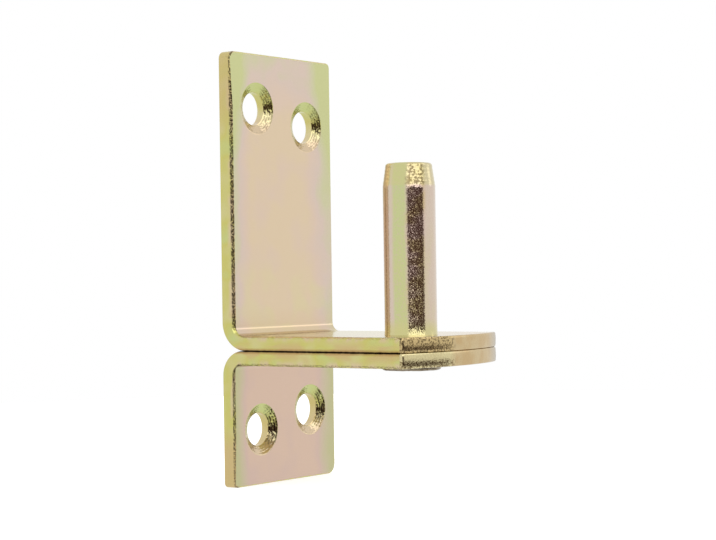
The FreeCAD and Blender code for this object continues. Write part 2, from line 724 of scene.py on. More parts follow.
@dataclass(frozen=True)
class StripFinish:
    """Chromate film on a plate's long cut edges, yellow-green with tan patches and a burr, with painted
    shade along the burr, in the bend's inside corner and along the joint between the legs.
    """

    end_share: float
    film: tuple[Tone, ...] = (Tone.MOSS, Tone.OLIVE, Tone.HONEY, Tone.TAN)
    film_size: float = 3.2 * MM
    film_stretch: Stretch = (2.4, 1.0, 2.4)
    film_contrast: float = 1.9
    film_offset: float = -0.55
    blush: Patches = Patches(3.2 * MM, 0.44, 0.62, share=0.8, stretch=(1.2, 1.0, 3.0))
    blush_edge: Fade = Fade(-2.0 * MM, -0.6 * MM)
    warmth: Patches = Patches(3.2 * MM, 0.42, 0.6, share=0.9, stretch=(3.0, 1.0, 1.0))
    warm_foot: Fade = Fade(3.4 * MM, 0.8 * MM)
    near_side: Fade = Fade(2.0 * MM, 1.2 * MM)
    end_width: float = 26.0 * MM
    burr_width: float = 0.85 * MM
    # Painted shadow of the burr: its share on the upright, where it fades in above the leg, its share on
    # the leg and its dark specks
    burr_shadow_share: float = 0.9
    burr_foot: Fade = Fade(0.0, 2.0 * MM)
    leg_share: float = 0.2
    burr_shadow_specks: Patches = Patches(0.4 * MM, 0.4, 0.56, detail=1.0)
    # Painted shade in the inside corner of the bend, on the near side: its share and how far it reaches
    # along X and up
    corner_shade_share: float = 0.0
    corner_shade_along: Fade = Fade(2.6 * MM, 1.2 * MM)
    corner_shade_up: Fade = Fade(2.4 * MM, 1.2 * MM)
    # Painted shade along the joint between the legs: the width, core and drift of its dark line, and the
    # reach and share of its warm brown halo
    joint_shade_width: float = 0.42 * MM
    joint_shade_core: float = 0.3
    joint_shade_wander: float = 0.2 * MM
    joint_shade_size: float = 1.2 * MM
    joint_halo_reach: float = 2.4
    joint_halo_share: float = 0.6
    roughness: float = 0.2
    scratch_size: float = 0.25 * MM
    scratch_stretch: Stretch = (9.0, 1.0, 9.0)
    scratch_depth: float = 0.008 * MM
    grit_size: float = 0.4 * MM
    burr_depth: float = 0.12 * MM

    def make(self, plate: "BentPlate") -> bpy.types.Material:
        """Makes the material for one plate.

        Args:
            plate: Plate that wears it.

        Returns:
            The material.
        """
        sheet = MetalSheet(f"{plate.node}_strip", self.roughness)
        level = sheet.math("ABSOLUTE", sheet.math("SUBTRACT", sheet.z, plate.joint))
        depth = self.depth(sheet, plate, level)
        drift = sheet.noise(self.film_size, detail=1.0, stretch=self.film_stretch)
        colour = sheet.ramp(sheet.scaled(drift, self.film_contrast, self.film_offset), self.film)
        front = sheet.fade(depth, self.blush_edge, plate.thickness)
        colour = sheet.tint(colour, Tone.SHELL, sheet.patches(self.blush), front)
        under = sheet.fade(level, self.warm_foot)
        colour = sheet.tint(colour, Tone.TAN, sheet.patches(self.warmth), under)
        near = sheet.fade(sheet.y, self.near_side, -plate.width / 2)
        end = sheet.step(level, plate.height - self.end_width, plate.height - self.end_width / 2)
        colour = sheet.tint(colour, Tone.TAN, end, near, self.end_share)
        # The burr zone along the front edges: it carries a painted shadow of the burr as dark brown specks
        # on the near side, fainter on the leg, and a gritty relief
        burr = sheet.step(depth, plate.thickness - self.burr_width, plate.thickness - self.burr_width / 2)
        above = sheet.fade(level, self.burr_foot, plate.thickness)
        share = sheet.scaled(above, self.burr_shadow_share - self.leg_share, self.leg_share)
        colour = sheet.tint(colour, Tone.BROWN_SHADE, burr, sheet.patches(self.burr_shadow_specks), near, share)
        # Painted shade: a dark spot in the inside corner of the bend, on the near side
        along = sheet.fade(sheet.x, self.corner_shade_along, plate.face)
        up = sheet.fade(level, self.corner_shade_up, plate.thickness)
        colour = sheet.tint(colour, Tone.BROWN_SHADE, burr, near, along, up, self.corner_shade_share)
        # Painted shade along the joint between the legs: a warm brown halo and a dark core
        gap = sheet.math("ADD", level, sheet.wander(self.joint_shade_wander, self.joint_shade_size))
        joint_halo = sheet.step(gap, self.joint_shade_width * self.joint_halo_reach, self.joint_shade_width)
        colour = sheet.tint(colour, Tone.WARM_SHADE, joint_halo, self.joint_halo_share)
        joint_shade = sheet.step(gap, self.joint_shade_width, self.joint_shade_width * self.joint_shade_core)
        colour = sheet.tint(colour, Tone.DARK_SHADE, joint_shade)
        scratches = sheet.noise(self.scratch_size, detail=3.0, stretch=self.scratch_stretch)
        normal = sheet.bump(scratches, self.scratch_depth)
        grit = sheet.times(sheet.noise(self.grit_size), burr)
        return sheet.finish(colour, sheet.bump(grit, self.burr_depth, normal))

    def depth(
        self, sheet: MetalSheet, plate: "BentPlate", level: bpy.types.NodeSocket
    ) -> bpy.types.NodeSocket:
        """How deep the points of a plate lie in it, as its own depth_of says.

        Args:
            sheet: Node tree of the material.
            plate: Plate that wears it.
            level: Socket of the height above the joint between the legs.

        Returns:
            The depth's socket.
        """
        centre = plate.bend_outside
        along = sheet.math("MAXIMUM", sheet.scaled(sheet.x, -1.0, plate.back + centre), 0.0)
        up = sheet.math("MAXIMUM", sheet.scaled(level, -1.0, centre), 0.0)
        return sheet.math("SUBTRACT", centre, sheet.hypot(along, up))


@dataclass(frozen=True)
class NoseFinish:
    """Chromate film on a leg's bowed front edge, which is torn rough on its near part."""

    fleck_share: float
    torn_tone: Tone
    torn_until: float = -4.5 * MM
    torn_blend: float = 1.5 * MM
    torn_share: float = 0.8
    torn_wander: float = 2.0 * MM
    wander_size: float = 1.5 * MM
    stains: Patches = Patches(5.0 * MM, 0.4, 0.65, share=0.9)
    tip_from: float = 0.3
    tip_share: float = 0.8
    flecks: Patches = Patches(0.5 * MM, 0.44, 0.6, detail=3.0)
    low_half: Fade = Fade(0.3 * MM, -0.3 * MM)
    roughness: float = 0.2
    tear_size: float = 0.5 * MM
    torn_depth: float = 0.03 * MM
    streak_size: float = 0.4 * MM
    streak_stretch: Stretch = (1.0, 1.0, 8.0)
    streak_depth: float = 0.008 * MM

    def make(self, plate: "BentPlate") -> bpy.types.Material:
        """Makes the material for one plate.

        Args:
            plate: Plate that wears it.

        Returns:
            The material.
        """
        sheet = MetalSheet(f"{plate.node}_nose", self.roughness)
        along = sheet.math("ADD", sheet.y, sheet.wander(self.torn_wander, self.wander_size))
        torn = sheet.step(along, self.torn_until + self.torn_blend, self.torn_until - self.torn_blend)
        colour = sheet.tint(Tone.WHEAT.rgba, Tone.AMBER, sheet.patches(self.stains))
        tip = sheet.step(sheet.y, plate.width * self.tip_from, plate.width / 2)
        colour = sheet.tint(colour, Tone.PEARL, tip, self.tip_share)
        low = sheet.fade(sheet.z, self.low_half, plate.level(plate.thickness / 2))
        share = sheet.scaled(low, 1.0 - self.fleck_share, self.fleck_share)
        rough = sheet.tint(self.torn_tone.rgba, Tone.UMBER, sheet.patches(self.flecks), share)
        colour = sheet.mix(sheet.times(torn, self.torn_share), colour, rough)
        streaks = sheet.noise(self.streak_size, stretch=self.streak_stretch)
        normal = sheet.bump(streaks, self.streak_depth)
        tears = sheet.times(sheet.noise(self.tear_size, detail=3.0), torn)
        return sheet.finish(colour, sheet.bump(tears, self.torn_depth, normal))


@dataclass(frozen=True)
class SinkFinish:
    """Chromate film on the walls of the screw holes, olive above and pink below, with chatter rings
    darkened by painted shade on the far, upper wall.
    """

    # How strong the painted shade in the chatter grooves is, and its share on the lower part of the wall
    painted_shade_share: float
    low_share: float
    bore_share: float
    film: tuple[Tone, ...] = (Tone.SHELL, Tone.STRAW, Tone.OLIVE, Tone.MOSS)
    film_height: float = 10.0 * MM
    film_wander: float = 5.0 * MM
    wander_size: float = 2.0 * MM
    cone_start: Fade = Fade(0.1 * MM, 0.4 * MM)
    far_wall: Fade = Fade(1.5 * MM, 4.5 * MM)
    high_part: Fade = Fade(-5.0 * MM, -1.0 * MM)
    tears: Patches = Patches(0.6 * MM, 0.34, 0.54, detail=3.0)
    ridges: Fade = Fade(-0.9, 0.4)
    ridge_share: float = 0.6
    roughness: float = 0.14
    ring_pitch: float = 0.6 * MM
    ring_wobble: float = 1.4 * MM
    ring_depth: float = 0.01 * MM
    facet_size: float = 0.4 * MM
    facet_lean: float = 0.07

    def make(self, plate: "BentPlate") -> bpy.types.Material:
        """Makes the material for one plate.

        Args:
            plate: Plate that wears it.

        Returns:
            The material.
        """
        sheet = MetalSheet(f"{plate.node}_sink", self.roughness)
        near, far = (hole.centre for hole in plate.holes)
        side = sheet.math("GREATER_THAN", sheet.y, 0.0)
        across = sheet.math("SUBTRACT", sheet.y, sheet.scaled(side, far.y - near.y, near.y))
        up = sheet.math("SUBTRACT", sheet.z, sheet.scaled(side, far.z - near.z, near.z))
        radius = sheet.hypot(across, up)
        wander = sheet.wander(self.film_wander, self.wander_size)
        height = sheet.math("ADD", up, wander)
        colour = sheet.ramp(sheet.scaled(height, 1.0 / self.film_height, 0.5), self.film)
        cone = sheet.fade(radius, self.cone_start, plate.holes[0].radius)
        colour = sheet.tint(colour, Tone.TAN, sheet.scaled(cone, -self.bore_share, self.bore_share))
        wobble = sheet.math("ADD", radius, sheet.wander(self.ring_pitch, self.ring_wobble))
        rings = sheet.math("SINE", sheet.scaled(wobble, math.tau / self.ring_pitch))
        # Painted shade: the chatter grooves on the far, upper wall of each countersink are darkened, a
        # painted stand-in for the dark surround that the wall reflects there
        far_wall = sheet.fade(sheet.math("ADD", across, wander), self.far_wall)
        high = sheet.scaled(sheet.fade(height, self.high_part), 1.0 - self.low_share, self.low_share)
        ridges = sheet.scaled(sheet.fade(rings, self.ridges), self.ridge_share, 1.0 - self.ridge_share)
        shaded_grooves = sheet.times(far_wall, high, cone, sheet.patches(self.tears), ridges)
        colour = sheet.tint(colour, Tone.BROWN_SHADE, shaded_grooves, self.painted_shade_share)
        normal = sheet.bump(sheet.times(rings, cone), self.ring_depth)
        lean = Vector((self.facet_lean, self.facet_lean, self.facet_lean))
        return sheet.finish(colour, sheet.facets(self.facet_size, -lean, 2 * lean, normal))


@dataclass(frozen=True)
class TurnedFinish:
    """Chromate film on the turned pin, green and pink in turn round it, with a fine sparkle."""

    green_start: float = math.radians(-96.0)
    green_end: float = math.radians(-60.0)
    dusk_end: float = math.radians(-22.0)
    green_blend: float = math.radians(12.0)
    turn_wander: float = 0.5
    wander_size: float = 6.0 * MM
    wander_stretch: Stretch = (1.0, 1.0, 5.0)
    dusk_share: float = 0.8
    dusk_drift: Patches = Patches(5.0 * MM, 0.4, 0.6)
    stains: Patches = Patches(7.0 * MM, 0.45, 0.65, share=0.3, stretch=(1.0, 1.0, 3.0))
    flecks: Patches = Patches(0.6 * MM, 0.5, 0.62, share=0.3)
    lead_in: Fade = Fade(-0.4 * MM, 0.4 * MM)
    lead_share: float = 0.5
    foot: Fade = Fade(5.0 * MM, 1.0 * MM)
    foot_share: float = 0.8
    rim_inset: float = 0.2 * MM
    chatter: Patches = Patches(0.7 * MM, 0.44, 0.56, share=0.75)
    head: Fade = Fade(0.0, -0.2 * MM)
    hammer_spots: Patches = Patches(1.2 * MM, 0.5, 0.6, share=0.7)
    roughness: float = 0.13
    facet_size: float = 0.2 * MM
    facet_turn: float = 0.03
    facet_tip: float = 0.11
    facet_low_top: float = -0.035
    facet_low_foot: float = 0.015
    turning_size: float = 0.22 * MM
    turning_stretch: Stretch = (60.0, 60.0, 1.0)
    turning_depth: float = 0.003 * MM

    def make(self, pin: "HingePin") -> bpy.types.Material:
        """Makes the material for the pin.

        Args:
            pin: Pin that wears it.

        Returns:
            The material.
        """
        sheet = MetalSheet(f"{pin.node}_turned", self.roughness)
        heading = sheet.math("ARCTAN2", sheet.y, sheet.x)
        wander = sheet.wander(self.turn_wander, self.wander_size, stretch=self.wander_stretch)
        turn = sheet.math("ADD", heading, wander)
        green = sheet.band(turn, self.green_start, self.green_end, self.green_blend)
        colour = sheet.tint(Tone.PETAL.rgba, Tone.SPRING, green)
        dusk = sheet.band(turn, self.green_end, self.dusk_end, self.green_blend)
        dusky = sheet.tint(Tone.TAN.rgba, Tone.MAUVE, sheet.patches(self.dusk_drift))
        colour = sheet.mix(sheet.times(dusk, self.dusk_share), colour, dusky)
        colour = sheet.tint(colour, Tone.HONEY, sheet.patches(self.stains))
        colour = sheet.tint(colour, Tone.MAUVE, sheet.patches(self.flecks))
        lead = sheet.fade(sheet.z, self.lead_in, pin.taper_start)
        foot = sheet.fade(sheet.z, self.foot, pin.seat)
        ends = sheet.math("ADD", sheet.times(lead, self.lead_share), sheet.times(foot, self.foot_share))
        colour = sheet.tint(colour, Tone.HONEY, ends)
        below_rim = sheet.step(sheet.z, pin.top - self.rim_inset, pin.top - pin.top_round)
        colour = sheet.tint(colour, Tone.UMBER, lead, below_rim, dusk, sheet.patches(self.chatter))
        hammered = sheet.tint(Tone.STEEL.rgba, Tone.UMBER, sheet.patches(self.hammer_spots))
        head = sheet.fade(sheet.z, self.head, pin.bottom + pin.head_height)
        colour = sheet.mix(head, colour, hammered)
        turning = sheet.noise(self.turning_size, stretch=self.turning_stretch)
        normal = sheet.bump(turning, self.turning_depth)
        low = sheet.nodes.new("ShaderNodeCombineXYZ")
        low.inputs["X"].default_value = -self.facet_turn
        low.inputs["Y"].default_value = -self.facet_turn
        fall = (self.facet_low_top - self.facet_low_foot) / pin.taper_start
        sheet.feed(low.inputs["Z"], sheet.scaled(sheet.z, fall, self.facet_low_foot))
        spread = Vector((2 * self.facet_turn, 2 * self.facet_turn, self.facet_tip))
        return sheet.finish(colour, sheet.facets(self.facet_size, low.outputs["Vector"], spread, normal))


@dataclass
class ScrewHole:
    """One countersunk screw hole through an upright."""

    centre: Vector
    radius: float
    rim_radius: float
    thickness: float
    cone_angle: float = math.radians(120.0)
    back_flare: float = 0.5 * MM
    back_height: float = 0.9 * MM
    back_steps: int = 4
    overrun: float = 1.0 * MM
    steps: int = 96

    def profile(self) -> Profile:
        """The drill's half profile, from behind the plate to in front of it.

        Returns:
            Radius and height of each point, with the torn back edge and the countersink.
        """
        depth = (self.rim_radius - self.radius) / math.tan(self.cone_angle / 2)
        points = [(0.0, -self.overrun), (self.radius + self.back_flare, -self.overrun)]
        for step in range(self.back_steps + 1):
            share = step / self.back_steps
            points.append((self.radius + self.back_flare * (1 - share) ** 2, self.back_height * share))
        points.append((self.radius, self.thickness - depth))
        points.append((self.rim_radius, self.thickness))
        points.append((self.rim_radius, self.thickness + self.overrun))
        points.append((0.0, self.thickness + self.overrun))
        return points

    def tool(self) -> bpy.types.Object:
        """The drill as a closed mesh."""
        return turned("drill", self.profile(), self.centre, Vector((1, 0, 0)), self.steps)

    def away(self, point: Vector) -> float:
        """How far a point is from the hole's axis."""
        return math.hypot(point.y - self.centre.y, point.z - self.centre.z)


@dataclass
class BentPlate:
    """A flat bar bent to an angle, with a bowed leg end and two countersunk screw holes."""

    node: str
    upright: Upright
    seat: float
    bend_inside: float
    edge_round: float
    near_corner: float
    far_corner: float
    rolled: RolledFinish
    strip: StripFinish
    nose: NoseFinish
    sink: SinkFinish
    countersink_diameter: float = 14.0 * MM
    tenon_bore: float = 10.1 * MM
    bend_easing: float = 1.25 * MM
    front_radius: float = 65.0 * MM
    front_corner: float = 1.0 * MM
    trim_round: float = 0.35 * MM
    back_round: float = 0.35 * MM
    rim_round: float = 0.14 * MM
    bulge: float = 0.16 * MM
    bulge_reach: float = 3.0 * MM
    slice_size: float = 0.45 * MM
    nose_slices: int = 10
    ragged_depth: float = 0.2 * MM
    ragged_size: float = 0.55 * MM
    ragged_part: float = 0.95
    far_ragged: float = 0.25
    nose_ragged: float = 0.3
    nose_ragged_until: float = -7.0 * MM
    nose_far_ragged: float = 0.06
    front_steps: int = 720
    bore_steps: int = 96
    rim_reach: float = 0.5 * MM
    end_reach: float = 0.5 * MM
    rim_angle: float = math.radians(20.0)
    cut_angle: float = math.radians(40.0)
    smooth_angle: float = math.radians(38.0)
    strip_lean: float = 0.08
    nose_lean: float = 0.12

    def __post_init__(self) -> None:
        """Takes the plate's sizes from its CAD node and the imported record."""
        low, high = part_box(self.node)
        rises = self.upright is Upright.RISES
        self.back = low.x
        self.tip = high.x
        self.width = high.y - low.y
        self.height = high.z - low.z
        self.joint = low.z if rises else high.z
        self.thickness = self.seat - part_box("upper_plate")[0].z
        self.face = self.back + self.thickness
        self.bend_outside = self.bend_inside + self.thickness + self.bend_easing
        bore = mount_size("near_screws", "hole_r_mm")
        self.holes = [
            ScrewHole(centre, bore, self.countersink_diameter / 2, self.thickness)
            for centre in self.hole_centres()
        ]

    def level(self, height: float) -> float:
        """The place along Z of a height above the joint between the legs."""
        return self.joint + self.upright.value * height

    def rise(self, point: Vector) -> float:
        """How far a point is from the joint, towards the end of the upright."""
        return (point.z - self.joint) * self.upright.value

    def hole_centres(self) -> Iterable[Vector]:
        """Centres of the screw holes on the plate's back face.

        Returns:
            One point for each opening of the record that lies in the upright.
        """
        for opening in frame["record"]["physics"]["openings"]:
            if not opening["name"].endswith("screw_hole"):
                continue
            low, high = (Vector(corner) for corner in opening["box_m"])
            middle = (low + high) / 2
            if self.rise(middle) > 0:
                yield Vector((self.back, middle.y, middle.z))

    def build(self) -> bpy.types.Object:
        """Models the plate and dresses it.

        Returns:
            The finished piece.
        """
        piece = self.bent_bar()
        self.bow_front(piece)
        self.drill(piece)
        self.ease_edges(piece)
        self.tear_edges(piece)
        smooth(piece, self.smooth_angle)
        self.dress(piece)
        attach(piece, BODY)
        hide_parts(self.node)
        return piece

    def bent_bar(self) -> bpy.types.Object:
        """Models the bar with its bend and the rounded corners of its upright.

        Returns:
            The bent bar, with a straight front.
        """
        middle = Vector((self.back + self.thickness / 2, 0, self.level(self.height / 2)))
        bpy.ops.object.select_all(action="DESELECT")
        bpy.ops.mesh.primitive_cube_add(
            size=1.0, location=middle, scale=(self.thickness, self.width, self.height)
        )
        piece = named(f"{self.node}_plated")
        settle()
        with Bench(piece) as bench:
            bench.pick_all()
            bpy.ops.mesh.bisect(plane_co=(0, 0, self.level(self.thickness)), plane_no=(0, 0, 1))
            bench.pick_faces(self.is_leg_root)
            reach = Vector((self.tip - self.face, 0, 0))
            bpy.ops.mesh.extrude_region_move(TRANSFORM_OT_translate={"value": reach})
            bench.pick_all()
            bpy.ops.mesh.dissolve_limited(angle_limit=FLAT_ANGLE)
            inside = self.across_at(self.face, self.thickness)
            bench.bevel(inside, self.bend_inside, segments=10)
            outside = self.across_at(self.back, 0.0)
            bench.bevel(outside, self.bend_outside, segments=20)
            for side, radius in ((-1, self.near_corner), (1, self.far_corner)):
                bench.bevel(lambda edge: self.is_end_corner(edge, side), radius, segments=8)
        return piece

    def is_leg_root(self, face: bmesh.types.BMFace) -> bool:
        """True for the face of the upright that the leg grows from."""
        return face.normal.x > FACING and self.rise(face.calc_center_median()) < self.thickness

    def across_at(self, x: float, height: float) -> Callable[[bmesh.types.BMEdge], bool]:
        """A test for the edge across the plate at a place along X and a height above the joint.

        Args:
            x: Place along X.
            height: Height above the joint between the legs.

        Returns:
            The test, which is true for that edge.
        """
        return lambda edge: all(
            abs(vert.co.x - x) < PLACE_TOLERANCE and abs(self.rise(vert.co) - height) < PLACE_TOLERANCE
            for vert in edge.verts
        )

    def is_end_corner(self, edge: bmesh.types.BMEdge, side: int) -> bool:
        """Says if an edge runs through the plate at a corner of the upright's end.

        Args:
            edge: Edge of the bent bar.
            side: The corner's side, -1 for the near one and 1 for the far one.

        Returns:
            True if the edge is wanted.
        """
        first, second = edge.verts
        at_end = abs(self.rise(first.co) - self.height) < PLACE_TOLERANCE
        return at_end and first.co.y * side > 0 and abs(first.co.x - second.co.x) > self.thickness / 2

    def bow_front(self, piece: bpy.types.Object) -> None:
        """Trims the leg's end to its bow and rounds the bow's corners.

        Args:
            piece: The bent bar.
        """
        bpy.ops.object.select_all(action="DESELECT")
        bpy.ops.mesh.primitive_cylinder_add(
            vertices=self.front_steps,
            radius=self.front_radius,
            depth=4 * self.height,
            location=(self.tip - self.front_radius, 0, self.joint),
        )
        tool = named("bow")
        settle()
        carve(piece, tool, "INTERSECT")
        with Bench(piece) as bench:
            bench.bevel(self.is_front_corner, self.front_corner, segments=6)

    def is_front_corner(self, edge: bmesh.types.BMEdge) -> bool:
        """Says if an edge stands upright at a corner of the leg's front.

        Args:
            edge: Edge of the trimmed bar.

        Returns:
            True if the edge is wanted.
        """
        first, second = edge.verts
        upright = abs(first.co.z - second.co.z) > self.thickness / 2
        at_side = abs(abs(first.co.y) - self.width / 2) < PLACE_TOLERANCE
        return upright and at_side and first.co.x > 0

    def drill(self, piece: bpy.types.Object) -> None:
        """Drills the screw holes and the bore for the pin's tenon.

        Args:
            piece: The trimmed bar.
        """
        with Bench(piece) as bench:
            bench.pick_all()
            bpy.ops.mesh.bisect(plane_co=(0, 0, 0), plane_no=(1, 0, 0))
            for hole in self.holes:
                bench.pick_all()
                bpy.ops.mesh.bisect(plane_co=hole.centre, plane_no=(0, 0, 1))
        for hole in self.holes:
            carve(piece, hole.tool(), "DIFFERENCE")
        radius = self.tenon_bore / 2
        low, high = -2 * self.thickness, 2 * self.thickness
        profile = [(0.0, low), (radius, low), (radius, high), (0.0, high)]
        tool = turned("bore", profile, Vector((0, 0, self.joint)), Vector((0, 0, 1)), self.bore_steps)
        carve(piece, tool, "DIFFERENCE")

    def ease_edges(self, piece: bpy.types.Object) -> None:
        """Eases the rims of the screw holes and the plate's outer edges.

        Args:
            piece: The drilled plate.
        """
        with Bench(piece) as bench:
            bench.bevel(self.is_rim, self.rim_round, segments=2)
            bench.bevel(self.is_near_front_edge, self.edge_round, segments=6)
            bench.bevel(lambda edge: self.is_outer_edge(edge, front=True), self.trim_round, segments=4)
            bench.bevel(lambda edge: self.is_outer_edge(edge, front=False), self.back_round, segments=3)

    def hole_at(self, point: Vector) -> ScrewHole | None:
        """The screw hole that a point of the upright lies in or on the rim of, if any.

        Args:
            point: Place on the plate.

        Returns:
            The hole, or None.
        """
        reach = self.countersink_diameter / 2 + self.rim_reach
        if point.x > self.face + PLACE_TOLERANCE:
            return None
        return next((hole for hole in self.holes if hole.away(point) < reach), None)

    def is_rim(self, edge: bmesh.types.BMEdge) -> bool:
        """Says if an edge goes round a screw hole, on the plate's front or back face.

        Args:
            edge: Edge of the drilled plate.

        Returns:
            True if the edge is wanted.
        """
        first, second = (vert.co for vert in edge.verts)
        if self.hole_at(first) is None or self.hole_at(second) is None:
            return False
        on_face = any(
            abs(first.x - x) < PLACE_TOLERANCE and abs(second.x - x) < PLACE_TOLERANCE
            for x in (self.back, self.face)
        )
        return on_face and edge.calc_face_angle(0.0) > self.rim_angle

    def is_outer_edge(self, edge: bmesh.types.BMEdge, front: bool) -> bool:
        """Says if an edge is one of the plate's cut outer edges.

        Args:
            edge: Edge of the drilled plate.
            front: True for the edges on the side that the screws enter from.

        Returns:
            True if the edge is wanted.
        """
        first, second = (vert.co for vert in edge.verts)
        middle = (first + second) / 2
        if edge.calc_face_angle(0.0) < self.cut_angle or self.hole_at(middle) is not None:
            return False
        if math.hypot(middle.x, middle.y) < self.tenon_bore:
            return False
        return (self.depth_of(middle) > self.thickness / 2) == front

    def is_near_front_edge(self, edge: bmesh.types.BMEdge) -> bool:
        """True for a cut edge on the front, along the plate's near side."""
        near = all(abs(vert.co.y + self.width / 2) < PLACE_TOLERANCE for vert in edge.verts)
        return near and self.is_outer_edge(edge, front=True)

    def depth_of(self, point: Vector) -> float:
        """How deep a point lies in the plate, from its back and mating faces and their bend.

        Args:
            point: Place in the plate.

        Returns:
            The depth.
        """
        along = max(self.bend_outside - (point.x - self.back), 0.0)
        up = max(self.bend_outside - self.rise(point), 0.0)
        return self.bend_outside - math.hypot(along, up)

    def tear_edges(self, piece: bpy.types.Object) -> None:
        """Bulges the leg's front edge and roughens the cut edges.

        Args:
            piece: The plate with eased edges.
        """
        self.slice_edges(piece)
        self.bulge_nose(piece)
        shares = {vert.index: self.torn_share(vert.co) for vert in piece.data.vertices}
        torn = {index: share for index, share in shares.items() if share > 0}
        roughen(piece, torn, self.ragged_size, self.ragged_depth)
        for vert in piece.data.vertices:
            vert.co.y = max(-self.width / 2, min(self.width / 2, vert.co.y))

    def is_flat(self, point: Vector) -> bool:
        """True for a point in one of the plate's rolled faces, which stay flat."""
        depths = (point.x - self.back, self.rise(point))
        return any(min(abs(depth), abs(depth - self.thickness)) < PLACE_TOLERANCE for depth in depths)

    def slice_edges(self, piece: bpy.types.Object) -> None:
        """Cuts the edges' faces into short slices that can be roughened.

        Args:
            piece: The plate with eased edges.
        """
        with Bench(piece) as bench:
            for count in range(1, int((self.height - self.bend_outside) / self.slice_size)):
                height = self.bend_outside + count * self.slice_size
                bench.pick_faces(lambda face: self.is_strip(face) and self.spans(face, height))
                bpy.ops.mesh.bisect(plane_co=(0, 0, self.level(height)), plane_no=(0, 0, 1))
            reach = self.tip - self.back
            for count in range(1, int((reach - self.bend_outside) / self.slice_size)):
                x = self.back + self.bend_outside + count * self.slice_size
                bench.pick_faces(lambda face: self.is_strip(face) and self.reaches(face, x))
                bpy.ops.mesh.bisect(plane_co=(x, 0, 0), plane_no=(1, 0, 0))
            for count in range(1, self.nose_slices):
                height = self.thickness * count / self.nose_slices
                bench.pick_faces(lambda face: self.is_nose(face) and self.spans(face, height))
                bpy.ops.mesh.bisect(plane_co=(0, 0, self.level(height)), plane_no=(0, 0, 1))

    def spans(self, face: bmesh.types.BMFace, height: float) -> bool:
        """True for a face with points above and below a height."""
        heights = [self.rise(vert.co) for vert in face.verts]
        return min(heights) < height < max(heights)

    def reaches(self, face: bmesh.types.BMFace, x: float) -> bool:
        """True for a face with points on both sides of a place along X."""
        places = [vert.co.x for vert in face.verts]
        return min(places) < x < max(places)

    def is_strip(self, face: bmesh.types.BMFace) -> bool:
        """True for a face of the long cut edges or of their easing."""
        return abs(face.normal.y) > self.strip_lean and self.hole_at(face.calc_center_median()) is None

    def is_nose(self, face: bmesh.types.BMFace) -> bool:
        """True for a face of the leg's bowed front edge or of its easing."""
        middle = face.calc_center_median()
        return face.normal.x > self.nose_lean and middle.x > self.front_line(middle.y) - self.thickness / 2

    def front_line(self, y: float) -> float:
        """Where the bow of the leg's front is along X, at a place across the plate."""
        return self.tip - self.front_radius + math.sqrt(self.front_radius**2 - y**2)

    def bulge_nose(self, piece: bpy.types.Object) -> None:
        """Lets the front edge fall back above and below its middle, as a sheared edge does.

        Args:
            piece: The sliced plate.
        """
        for vert in piece.data.vertices:
            depth = self.front_line(vert.co.y) - vert.co.x
            rise = self.rise(vert.co)
            if depth > self.bulge_reach or rise > self.thickness + TINY or rise < -TINY:
                continue
            off_middle = 2 * rise / self.thickness - 1
            fade = 1 - depth / self.bulge_reach
            vert.co.x -= self.bulge * off_middle**2 * fade

    def torn_share(self, point: Vector) -> float:
        """How much a point of the plate is roughened.

        Args:
            point: Place of a vertex.

        Returns:
            Share from 0 to 1 of the full depth.
        """
        side = abs(abs(point.y) - self.width / 2)
        at_front = self.thickness - self.depth_of(point)
        nose = self.front_line(point.y) - point.x
        if self.is_flat(point):
            return 0.0
        if self.rise(point) < self.thickness and nose < self.bulge + self.trim_round:
            return self.nose_ragged if point.y < self.nose_ragged_until else self.nose_far_ragged
        near = point.y < 0
        rounding = self.ragged_part * (self.edge_round if near else self.trim_round)
        if side < rounding and at_front < rounding:
            return 1.0 if near else self.far_ragged
        return 0.0

    def dress(self, piece: bpy.types.Object) -> None:
        """Gives each surface of the plate its finish.

        Args:
            piece: The finished mesh.
        """
        finishes = {
            Zone.FACE: self.rolled,
            Zone.STRIP: self.strip,
            Zone.NOSE: self.nose,
            Zone.SINK: self.sink,
        }
        for finish in finishes.values():
            piece.data.materials.append(finish.make(self))
        with Bench(piece) as bench:
            for zone in finishes:
                bench.pick_faces(lambda face: self.zone_of(face) is zone)
                piece.active_material_index = zone.value
                bpy.ops.object.material_slot_assign()

    def zone_of(self, face: bmesh.types.BMFace) -> Zone:
        """The surface of the plate that a face belongs to.

        Args:
            face: Face of the finished mesh.

        Returns:
            The surface's zone.
        """
        middle = face.calc_center_median()
        if self.hole_at(middle) is not None and abs(face.normal.x) < FACING_SQUARELY:
            return Zone.SINK
        if self.is_nose(face) and self.rise(middle) < self.thickness:
            return Zone.NOSE
        if self.is_strip(face) or self.rise(middle) > self.height - self.end_reach:
            return Zone.STRIP
        return Zone.FACE


